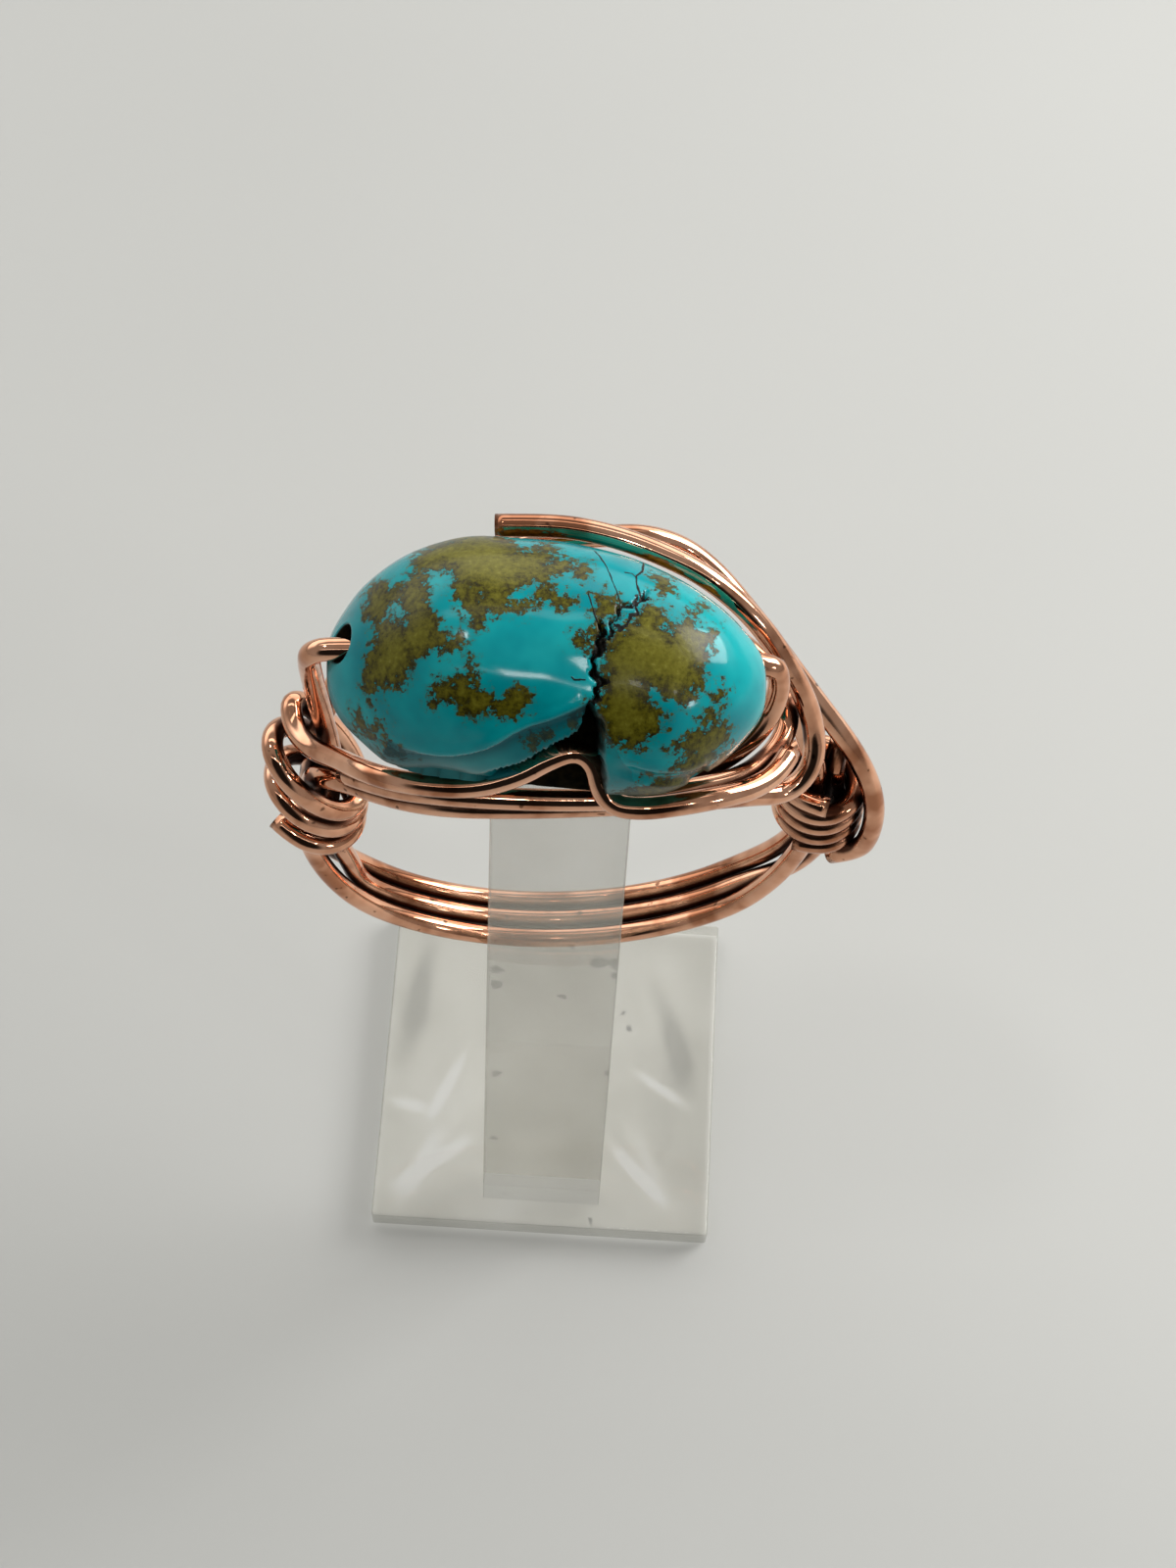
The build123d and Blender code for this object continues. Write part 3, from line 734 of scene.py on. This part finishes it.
class Shader:
    """A node tree and short ways to add to it; a value is a number or a node's output."""

    def __init__(self, tree):
        self.tree = tree

    def node(self, kind):
        return self.tree.nodes.new("ShaderNode" + kind)

    def plug(self, socket, value):
        """Links an output, or sets a plain value."""
        if isinstance(value, bpy.types.NodeSocket):
            self.tree.links.new(value, socket)
        else:
            socket.default_value = value

    def calc(self, operation, *values):
        made = self.node("Math")
        made.operation = operation
        for socket, value in zip(made.inputs, values):
            self.plug(socket, value)
        return made.outputs[0]

    def product(self, first, second):
        return self.calc("MULTIPLY", first, second)

    def add_product(self, first, second, rest):
        return self.calc("MULTIPLY_ADD", first, second, rest)

    def centred(self, value):
        """Moves a value between 0 and 1 to lie round zero."""
        return self.calc("SUBTRACT", value, 0.5)

    def size_of(self, value):
        return self.calc("ABSOLUTE", value)

    def vector(self, operation, vector, fixed):
        """Dot product with a fixed vector, or the distance from it."""
        made = self.node("VectorMath")
        made.operation = operation
        self.plug(made.inputs[0], vector)
        made.inputs[1].default_value = fixed
        return made.outputs["Value"]

    def coords(self, name="Object"):
        return self.node("TexCoord").outputs[name]

    def parts(self, vector):
        """The three numbers of a vector."""
        made = self.node("SeparateXYZ")
        self.plug(made.inputs[0], vector)
        return made.outputs

    def attribute(self, name, output="Fac"):
        made = self.node("Attribute")
        made.attribute_name = name
        return made.outputs[output]

    def noise(self, scale, detail=2, roughness=0.5, stretch=(1, 1, 1), seed=(0, 0, 0)):
        place = self.node("Mapping")
        place.inputs["Location"].default_value = seed
        place.inputs["Scale"].default_value = stretch
        self.plug(place.inputs["Vector"], self.coords())
        made = self.node("TexNoise")
        made.inputs["Scale"].default_value = scale
        made.inputs["Detail"].default_value = detail
        made.inputs["Roughness"].default_value = roughness
        self.plug(made.inputs["Vector"], place.outputs[0])
        return made.outputs["Fac"]

    def spread(self, value, low, high, new_low=0, new_high=1):
        """Moves the range from low to high to the new one, held at both ends."""
        made = self.node("MapRange")
        for socket, number in zip(made.inputs, (value, low, high, new_low, new_high)):
            self.plug(socket, number)
        return made.outputs[0]

    def ease(self, value, low, high, new_low=0, new_high=1):
        """The same with soft ends."""
        made = self.spread(value, low, high, new_low, new_high)
        made.node.interpolation_type = "SMOOTHSTEP"
        return made

    def ramp(self, source, stops):
        made = self.node("ValToRGB")
        elements = made.color_ramp.elements
        for element, (place, colour) in ((elements[0], stops[0]), (elements[1], stops[-1])):
            element.position = place
            element.color = (*colour, 1)
        for place, colour in stops[1:-1]:
            elements.new(place).color = (*colour, 1)
        self.plug(made.inputs[0], source)
        return made.outputs[0]

    def blend(self, factor, first, second):
        """From the first colour to the second."""
        made = self.node("Mix")
        made.data_type = "RGBA"
        self.plug(made.inputs["Factor"], factor)
        for socket, value in ((made.inputs[6], first), (made.inputs[7], second)):
            self.plug(socket, (*value, 1) if isinstance(value, tuple) else value)
        return made.outputs[2]


class Surface(Shader):
    """A material with one shader."""

    def __init__(self, name):
        self.material = bpy.data.materials.new(name)
        self.material.use_nodes = True
        super().__init__(self.material.node_tree)
        self.tree.nodes.clear()
        out = self.node("OutputMaterial")
        self.bsdf = self.node("BsdfPrincipled")
        self.plug(out.inputs[0], self.bsdf.outputs[0])

    def put(self, name, value):
        self.plug(self.bsdf.inputs[name], value)

    def bump(self, height, distance, strength):
        made = self.node("Bump")
        made.inputs["Strength"].default_value = strength
        made.inputs["Distance"].default_value = distance
        self.plug(made.inputs["Height"], height)
        self.put("Normal", made.outputs[0])


def copper_material():
    look = Surface("polished_copper")
    patches = look.noise(420, 3, 0.6)
    colour = look.ramp(patches, [(0.36, (0.9, 0.505, 0.335)), (0.5, (0.79, 0.405, 0.25)),
                                 (0.64, (0.46, 0.19, 0.1))])
    specks = look.ease(look.noise(2300, 1, 0.5, seed=(3, 1, 2)), 0.7, 0.76)
    colour = look.blend(look.product(specks, 0.8), colour, (0.1, 0.035, 0.015))
    # Painted shade where another wire lies close, which also makes the copper rougher there
    near = look.add_product(look.centred(patches), 0.2, look.attribute("closeness"))
    gap_shade = look.ease(near, 0.03, 0.31, 0, 0.93)
    look.put("Base Color", look.blend(gap_shade, colour, (0.04, 0.009, 0.004)))
    look.put("Metallic", 1)
    fine = look.noise(2600)
    look.put("Roughness", look.add_product(gap_shade, 0.3, look.spread(fine, 0.3, 0.7, 0.03, 0.09)))
    look.bump(fine, 0.00003, 0.1)
    return look.material


def shown_lines(look):
    """One on the dark lines of the stone and on the painted shade of its cleft, else zero."""
    dark = look.attribute("crevice")
    for k, (name, (width, ragged)) in enumerate(SHOWN_LINES.items()):
        parts = look.parts(look.attribute(name, "Vector"))
        shake = look.centred(look.noise(4200, 3, 0.6, seed=(k, k, 0)))
        apart = look.size_of(look.add_product(shake, ragged * 2, parts[0]))
        swell = look.spread(look.noise(1500, 1, 0.5, seed=(0, k, k)), 0.3, 0.7, 0.4, 1.45)
        inside = look.calc("SUBTRACT", look.product(swell, width), apart)
        ends = look.calc("LESS_THAN", look.size_of(look.centred(parts[1])), 0.499)
        line = look.product(look.ease(inside, -0.012, 0.012), ends)
        dark = look.calc("MAXIMUM", dark, line)
    return dark


def turquoise_material():
    look = Surface("turquoise")
    blue = look.ramp(look.noise(330, 3, 0.55, seed=(1, 2, 3)),
                     [(0.32, (0, 0.215, 0.255)), (0.5, (0, 0.315, 0.35)), (0.68, (0.008, 0.42, 0.44))])
    # Brown matrix with a ragged edge and a greenish halo
    coarse = look.centred(look.noise(900))
    ragged = look.centred(look.noise(2900, 8, 0.74, seed=(5, 0, 0)))
    field = look.add_product(coarse, 0.5, look.attribute("matrix"))
    field = look.add_product(ragged, 2.3, field)
    patch = look.ease(field, -0.035, 0.035)
    halo = look.ease(field, -0.26, 0, 0, 0.55)
    grain = look.noise(5200, 4, 0.65, seed=(0, 7, 0))
    tone = look.add_product(look.centred(grain), 1.1, look.spread(field, 0, 0.7, 0.24, 0.7))
    brown = look.ramp(tone, [(0, (0.008, 0.006, 0.001)), (0.25, (0.032, 0.026, 0.002)),
                             (0.52, (0.105, 0.094, 0.005)), (0.82, (0.17, 0.155, 0.014)),
                             (1, (0.26, 0.235, 0.05))])
    colour = look.blend(halo, blue, (0.035, 0.2, 0.165))
    colour = look.blend(patch, colour, brown)
    # Painted shade: a darker flute under the ridge and a darker low front
    under = look.attribute("under")
    shade = look.calc("SUBTRACT", look.ease(under, -0.02, 0.12), look.ease(under, 0.3, 0.75, 0, 0.55))
    colour = look.blend(look.product(shade, 0.74), colour, (0, 0.07, 0.09))
    low_front_shade = look.attribute("low_front_shade")
    colour = look.blend(look.product(low_front_shade, 0.5), colour, (0.01, 0.035, 0.03))
    # Dark lines of the stone, and the painted shade of its cleft
    dark = shown_lines(look)
    look.put("Base Color", look.blend(dark, colour, (0.006, 0.005, 0.003)))

    rough = look.spread(patch, 0, 1, 0.12, 0.28)
    rough = look.add_product(look.calc("MAXIMUM", low_front_shade, shade), 0.4, rough)
    look.put("Roughness", look.add_product(dark, 0.5, rough))
    look.put("Specular IOR Level", 0.22)
    look.put("Coat Weight", 0.08)
    look.put("Coat Roughness", 0.05)
    height = look.add_product(patch, -0.4, look.product(grain, look.product(patch, 0.5)))
    look.bump(look.add_product(dark, -2.5, height), 0.00003, 0.6)
    return look.material


# Near-black second material: painted shade in the cleft, and the dark inside of open cracks
def cleft_shade_and_cracks_material():
    look = Surface("stone_crevice")
    stops = [(0.4, (0.002, 0.002, 0.001)), (0.75, (0.016, 0.012, 0.004))]
    look.put("Base Color", look.ramp(look.noise(3500, 3, 0.6), stops))
    look.put("Roughness", 0.9)
    look.put("Specular IOR Level", 0.1)
    return look.material


# Painted reflection in the plate, bright and dark streaks where the tongue and ring show in it: two ends
# in mm, half width and strength
PLATE_REFLECTIONS = [
    ((-7.8, -6.1), (-3.6, -3.4), 0.32, 1), ((-6, -2.9), (-4, 0.9), 0.28, 0.8),
    ((3.9, -0.2), (6.9, -2.4), 0.3, 0.9), ((2.6, -3.7), (5.4, -7.2), 0.34, 1),
    ((-7.9, -1.6), (-5.7, -2.1), 0.35, 0.7), ((-7, 0), (-5.6, 7.8), 0.65, -0.65),
    ((6.9, -2.2), (5.1, 5.4), 0.6, -0.6), ((-7.4, -7), (-5.2, -3), 0.45, 0.55),
    ((5.6, -7.4), (3.6, -2.6), 0.5, 0.5)]
# Dark marks on the front of the tongue: places in mm and size
MARKS = [((1.75, -2.24, 19.8), 0.48), ((2.55, -2.33, 19.75), 0.56), ((2.48, -2.5, 19), 0.34),
         ((-2.55, -2.3, 18.9), 0.42), ((-2.5, -2.45, 17.9), 0.36), ((-2.62, -4, 11.4), 0.34),
         ((2.44, -4.29, 12), 0.36)]


def painted_reflections(look):
    """Sum of the soft painted reflection streaks at a place on the plate, between -1 and 1."""
    coords = look.coords()
    total = 0
    for (ax, ay), (bx, by), width, strength in PLATE_REFLECTIONS:
        along = Vector((bx - ax, by - ay, 0)) * MM
        across = Vector((-along.y, along.x, 0)) / along.length / (width * MM)
        offset = look.node("VectorMath")
        offset.operation = "SUBTRACT"
        look.plug(offset.inputs[0], coords)
        offset.inputs[1].default_value = (ax * MM, ay * MM, 0)
        share = look.vector("DOT_PRODUCT", offset.outputs[0], along / along.length_squared)
        apart = look.vector("DOT_PRODUCT", offset.outputs[0], across)
        side = look.ease(look.size_of(apart), 0, 1.5, 1, 0)
        ends = look.ease(look.size_of(look.centred(share)), 0.1, 0.58, 1, 0)
        total = look.add_product(look.product(side, ends), strength, total)
    return total


def marks(look):
    """One in the small ragged marks, else zero."""
    coords = look.coords()
    shake = look.centred(look.noise(1900, 3, 0.6, seed=(4, 4, 1)))
    total = 0
    for place, size in MARKS:
        apart = look.vector("DISTANCE", coords, Vector(place) * MM)
        field = look.add_product(shake, 1.6, look.calc("DIVIDE", apart, size * MM))
        total = look.calc("MAXIMUM", total, look.ease(field, 0.55, 1, 1, 0))
    return total


def acrylic_material(name, alpha, light, dark, marked=False):
    look = Surface(name)
    haze = look.noise(260, 3, 0.55)
    if marked:
        # Painted reflection streaks shift the plate's tone
        haze = look.add_product(painted_reflections(look), -0.75, haze)
    colour = look.ramp(haze, [(0.1, (1, 1, 0.97)), (0.38, light), (0.62, dark),
                              (0.95, (0.25, 0.24, 0.19))])
    specks = look.ease(look.noise(900, 2, 0.5, seed=(2, 5, 1)), 0.71, 0.76)
    if marked:
        specks = look.calc("MAXIMUM", specks, marks(look))
    look.put("Base Color", look.blend(specks, colour, (0.03, 0.03, 0.02)))
    scratches = look.noise(500, 4, 0.6, stretch=(1, 6, 1))
    look.put("Roughness", look.spread(scratches, 0.35, 0.75, 0.02, 0.1))
    look.put("IOR", 1.49)
    look.put("Transmission Weight", 0.3)
    look.put("Alpha", alpha)
    return look.material


copper = copper_material()
for wire in wires.values():
    wire.data.materials.append(copper)
bead.data.materials.append(turquoise_material())
bead.data.materials.append(cleft_shade_and_cracks_material())

# The stand keeps its mesh; its faces take one of three acrylics, by direction and by height in metres;
# the side faces and low edges take a darker copy, painted shade for the look of acrylic edges
VIEW_TURN = radians(4.7)
UNDERSIDE_BELOW = 0.0014
EDGES_BELOW = 0.00125
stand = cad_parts["display_stand"]
stand.data.materials.clear()
for acrylic in (("clear_acrylic", 0.37, (0.78, 0.76, 0.67), (0.62, 0.6, 0.51), True),
                ("acrylic_edge_shaded", 0.55, (0.5, 0.5, 0.43), (0.36, 0.36, 0.3)),
                ("acrylic_underside", 0.04, (0.86, 0.84, 0.77), (0.72, 0.7, 0.62))):
    stand.data.materials.append(acrylic_material(*acrylic))
across = Vector((cos(VIEW_TURN), -sin(VIEW_TURN), 0))
for face in stand.data.polygons:
    height = (stand.matrix_world @ face.center).z
    if height < UNDERSIDE_BELOW and face.normal.z < -0.9:
        face.material_index = 2
    elif abs(face.normal.dot(across)) > 0.5 or (height < EDGES_BELOW and face.normal.z < 0.5):
        face.material_index = 1


# Floor, light and camera

FLOOR = -0.00012
FLOOR_REACH = 0.6
look = Surface("pale_floor")
tone = look.ramp(look.noise(9, 3), [(0.3, (0.58, 0.58, 0.555)), (0.7, (0.635, 0.635, 0.61))])
place = look.parts(look.coords())
# Painted shade: the floor darkens towards the left and the front
shade = look.ease(look.add_product(place[0], 0.6, place[1]), -0.035, 0.02, 0.32, 0.04)
look.put("Base Color", look.blend(shade, tone, (0.3, 0.305, 0.29)))
look.put("Roughness", 0.6)
corners = [(x * FLOOR_REACH, y * FLOOR_REACH, FLOOR) for x, y in ((-1, -1), (1, -1), (1, 1), (-1, 1))]
plane = bpy.data.meshes.new("floor")
plane.from_pydata(corners, [], [(0, 1, 2, 3)])
plane.materials.append(look.material)
obj = new_object("floor", plane)

# Direction from the ring, distance and size in metres and power of each light
LIGHTS = {
    "ceiling_lamp": ((-0.36, 0.04, 0.93), 0.4, 0.034, 0.1),
    "side_lamp": ((0.74, -0.53, 0.4), 0.4, 0.036, 0.08),
    "front_lamp": ((0.02, -0.5, 0.86), 0.4, 0.03, 0.05),
    "low_lamp": ((0.53, -0.46, 0.71), 0.4, 0.022, 0.035),
    "window": ((0.95, 0.45, 0.6), 0.3, 0.15, 0.62),
}
target = RING_CENTRE * MM
for name, (direction, distance, size, power) in LIGHTS.items():
    lamp = bpy.data.lights.new(name, "AREA")
    lamp.size = size
    lamp.energy = power
    obj = new_object(name, lamp)
    obj.location = target + Vector(direction).normalized() * distance
    obj.rotation_euler = (target - obj.location).to_track_quat("-Z", "Y").to_euler()

# Room: a bright wall behind, a plain ceiling, and the dim side that the camera stands on
world = bpy.data.worlds.new("studio")
scene.world = world
world.use_nodes = True
sky = Shader(world.node_tree)
way = sky.coords("Generated")
# Bright strips of the room: how many degrees their axis leans to the viewer, half width and strength
STRIPS = [(68, 0.09, 2.2), (122, 0.035, 2.4)]

parts = sky.parts(way)
height_band = sky.product(sky.ease(parts[2], 0.02, 0.14), sky.ease(parts[2], 0.74, 0.5))
wall = sky.product(height_band, sky.ease(parts[1], 0.05, 0.55))
viewer = Vector((-0.04, -0.86, 0.5)).normalized()
dim = sky.ease(sky.vector("DOT_PRODUCT", way, viewer), 0.72, 0.9)
glow = sky.product(sky.add_product(wall, 1.5, 0.31), sky.spread(dim, 0, 1, 1, 0.04))
for lean, half, strength in STRIPS:
    square = (0, -sin(radians(lean)), cos(radians(lean)))
    apart = sky.size_of(sky.vector("DOT_PRODUCT", way, square))
    strip = sky.ease(apart, 0.4 * half, half, 1, 0)
    reach = sky.ease(sky.size_of(parts[0]), 0.35, 0.6, 1, 0)
    lit = sky.product(sky.product(strip, reach), sky.spread(parts[2], 0, 0.1))
    glow = sky.add_product(lit, strength, glow)
background = sky.tree.nodes["Background"]
sky.plug(background.inputs[1], glow)
background.inputs[0].default_value = (1, 0.995, 0.97, 1)

# The camera, recovered from the photo; its aim is a pixel of the frame
VIEW_ROLL = radians(3.57)
FOCAL_PIXELS = 2596.5
FRAME_PIXELS = (1200, 1600)
AIM_PIXEL = (570.5, 836)
VIEW_DISTANCE = 100

forward = cos(VIEW_TILT)
ahead = Vector((sin(VIEW_TURN) * forward, cos(VIEW_TURN) * forward, -sin(VIEW_TILT)))
level = Vector((cos(VIEW_TURN), -sin(VIEW_TURN), 0))
upward = level.cross(ahead)
cam_right = level * cos(VIEW_ROLL) + upward * sin(VIEW_ROLL)
cam_up = -level * sin(VIEW_ROLL) + upward * cos(VIEW_ROLL)
cam_place = RING_CENTRE - ahead * VIEW_DISTANCE
cam_place -= cam_right * (AIM_PIXEL[0] - FRAME_PIXELS[0] / 2) / FOCAL_PIXELS * VIEW_DISTANCE
cam_place += cam_up * (AIM_PIXEL[1] - FRAME_PIXELS[1] / 2) / FOCAL_PIXELS * VIEW_DISTANCE
cam_data = bpy.data.cameras.new("camera")
cam_data.sensor_width = 36
cam_data.lens = cam_data.sensor_width * FOCAL_PIXELS / FRAME_PIXELS[1]
cam_data.clip_start = 0.005
camera = new_object("camera", cam_data)
turn = Matrix((cam_right, cam_up, -ahead)).transposed().to_4x4()
camera.matrix_world = Matrix.Translation(cam_place * MM) @ turn
scene.camera = camera
scene.view_settings.view_transform = "Standard"
